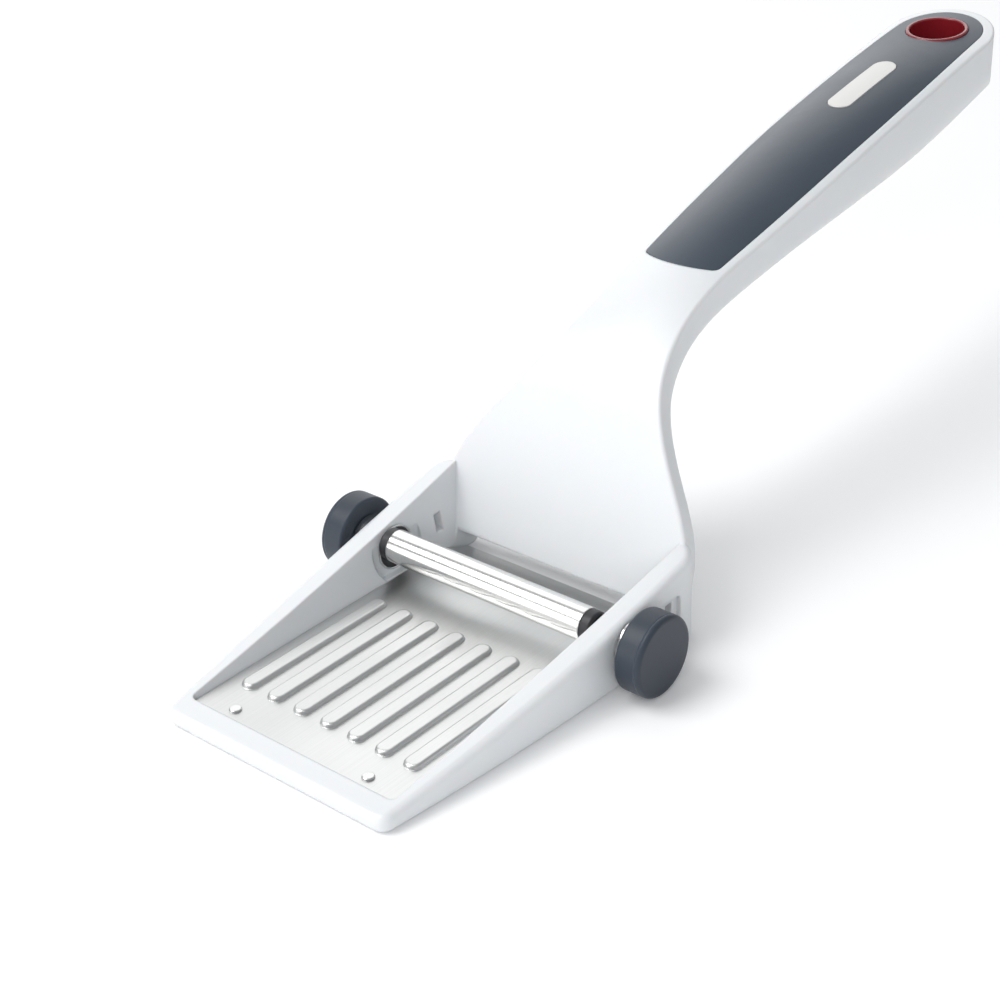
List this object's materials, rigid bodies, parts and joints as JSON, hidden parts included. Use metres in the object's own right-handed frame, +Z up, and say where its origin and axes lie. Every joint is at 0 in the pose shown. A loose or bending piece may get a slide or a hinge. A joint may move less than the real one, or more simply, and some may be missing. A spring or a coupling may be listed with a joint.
{
  "type": "cheese slicer",
  "caption": "Hand-held cheese slicer: ribbed steel plate with a cutting edge in a white tray, roller raised by side dials, long handle with a soft grip.",
  "frame": {"origin": "middle of the sole under the blade plate, where the head rests on a table", "axes": "+X from the nose to the handle, +Y across to the left-hand dial, +Z up from the sole"},
  "size_m": [0.2746, 0.0934, 0.0946],
  "materials": {
    "white_body": "cool near-white satin moulding",
    "soft_grip": "dark slate soft-touch rubber",
    "dark_plastic": "dark slate satin plastic",
    "black_plastic": "near-black low-friction plastic",
    "red_plastic": "deep red gloss plastic",
    "badge_grey": "light warm grey, bare",
    "inner_plastic": "mid grey moulding, hidden",
    "plate_steel": "satin stainless sheet",
    "polished_steel": "polished steel",
    "plain_steel": "plain turned steel",
    "seal_rubber": "black rubber"
  },
  "bodies": {
    "frame": {"body_frame": "white_body", "grip_cover": "soft_grip", "grip_carrier": "inner_plastic", "badge": "badge_grey", "hang_ring": "red_plastic", "blade_plate": "plate_steel", "plate_rivets": "polished_steel", "bearing_bush_left": "polished_steel", "bearing_bush_right": "polished_steel"},
    "dials": {"dial_hub_left": "black_plastic", "dial_hub_right": "black_plastic", "dial_knob_left": "dark_plastic", "dial_knob_right": "dark_plastic", "knob_cap_left": "dark_plastic", "knob_cap_right": "dark_plastic", "knob_screws": "plain_steel", "axle_rod": "plain_steel", "friction_rings": "seal_rubber", "thrust_washers": "plain_steel"},
    "roller": {"roller_tube": "polished_steel", "roller_cap_left": "black_plastic", "roller_cap_right": "black_plastic"}
  },
  "joints": [
    {"name": "dial_turn", "type": "hinge", "parent": "frame", "child": "dials", "pos_m": [0.0386, 0, 0.0097], "axis": [0, 1, 0], "range_deg": [-55, 45]},
    {"name": "roller_spin", "type": "hinge", "parent": "dials", "child": "roller", "pos_m": [0.0361, 0, 0.0122], "axis": [0, 1, 0], "continuous": true}
  ]
}
